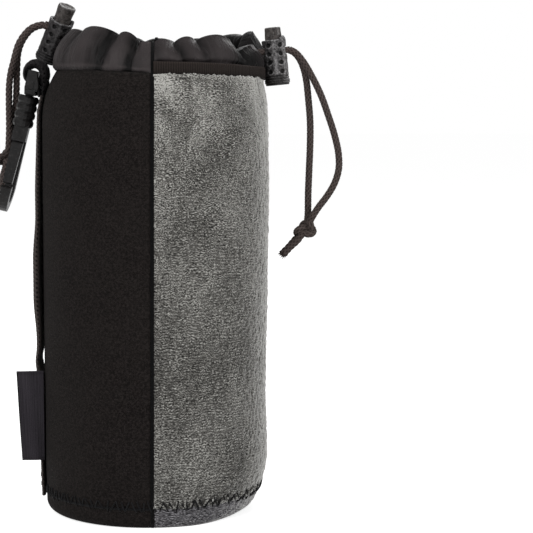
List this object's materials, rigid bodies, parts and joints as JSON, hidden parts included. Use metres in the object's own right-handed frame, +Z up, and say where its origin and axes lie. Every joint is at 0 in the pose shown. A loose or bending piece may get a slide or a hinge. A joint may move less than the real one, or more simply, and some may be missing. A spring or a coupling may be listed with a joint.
{
  "type": "lens pouch",
  "caption": "Padded cylindrical pouch with a plush lining, a drawstring collar with spring cord locks, a belt strap and a swivel snap hook",
  "frame": {"origin": "centre of the base, on the face it stands on", "axes": "+Z up along the pouch, +X to the plush side with the right cord lock, -X to the strap and hook, -Y to the front"},
  "size_m": [0.1562, 0.1008, 0.2252],
  "materials": {
    "neoprene": "black knit-faced neoprene",
    "plush": "grey short-pile plush",
    "nylon": "dark grey gathered nylon",
    "grosgrain": "ribbed binding tape",
    "thread": "black sewing thread and tape",
    "cord": "braided drawcord",
    "lock_plastic": "moulded, worn at the edges",
    "hook_plastic": "moulded, semi-gloss black",
    "webbing": "woven nylon webbing",
    "label_cloth": "folded woven tag, bare",
    "spring_steel": "plain wire"
  },
  "bodies": {
    "pouch": {"neoprene_shell": "neoprene", "plush_panel": "plush", "lining_tube": "plush", "lining_base": "plush", "base_panel": "neoprene", "base_seam": "thread", "front_seam_trim": "thread", "back_seam_trim": "thread", "collar_left": "nylon", "collar_right": "nylon", "binding_tape": "grosgrain", "front_channel_cord": "cord", "back_channel_cord": "cord", "belt_strap": "webbing", "hook_loop": "webbing"},
    "left_lock": {"left_lock_barrel": "lock_plastic", "left_lock_spring": "spring_steel", "left_cord_nip": "cord", "left_cord_front": "cord", "left_cord_back": "cord", "left_cord_knot": "cord"},
    "left_plunger": {"left_lock_plunger": "lock_plastic"},
    "right_lock": {"right_lock_barrel": "lock_plastic", "right_lock_spring": "spring_steel", "right_cord_nip": "cord", "right_cord_inner": "cord", "right_cord_outer": "cord", "right_cord_knot": "cord"},
    "right_plunger": {"right_lock_plunger": "lock_plastic"},
    "eye": {"hook_eye": "hook_plastic"},
    "hook": {"hook_body": "hook_plastic"},
    "gate": {"hook_gate": "hook_plastic"},
    "label": {"side_label": "label_cloth"}
  },
  "joints": [
    {"name": "left_pull", "type": "slide", "parent": "pouch", "child": "left_lock", "axis": [-0.9171, 0, 0.3987], "range_m": [0, 0.0035]},
    {"name": "left_press", "type": "slide", "parent": "left_lock", "child": "left_plunger", "axis": [-0.3813, 0.2924, -0.877], "range_m": [0, 0.003], "stiffness_N_per_m": 400, "springref_m": -0.002, "deforming": ["left_lock_spring"]},
    {"name": "right_pull", "type": "slide", "parent": "pouch", "child": "right_lock", "axis": [0.9954, 0, 0.0958], "range_m": [0, 0.0035]},
    {"name": "right_press", "type": "slide", "parent": "right_lock", "child": "right_plunger", "axis": [0.0958, 0, -0.9954], "range_m": [0, 0.003], "stiffness_N_per_m": 400, "springref_m": -0.002, "deforming": ["right_lock_spring"]},
    {"name": "hook_swing", "type": "hinge", "parent": "pouch", "child": "eye", "pos_m": [-0.0534, 0, 0.1937], "axis": [0, 1, 0], "range_deg": [0, 80]},
    {"name": "hook_swivel", "type": "hinge", "parent": "eye", "child": "hook", "pos_m": [-0.0534, 0, 0.1937], "axis": [-0.2334, 0, -0.9724], "continuous": true},
    {"name": "hook_gate", "type": "hinge", "parent": "hook", "child": "gate", "pos_m": [-0.06082, -0.00374, 0.16278], "axis": [0.9724, 0, -0.2334], "range_deg": [0, 25], "stiffness_Nm_per_rad": 0.02, "springref_deg": -11.46},
    {"name": "label_fold", "type": "hinge", "parent": "pouch", "child": "label", "pos_m": [-0.04934, -0.0116, 0.043], "axis": [0, 0, 1], "range_deg": [0, 85], "stiffness_Nm_per_rad": 0.0002}
  ]
}
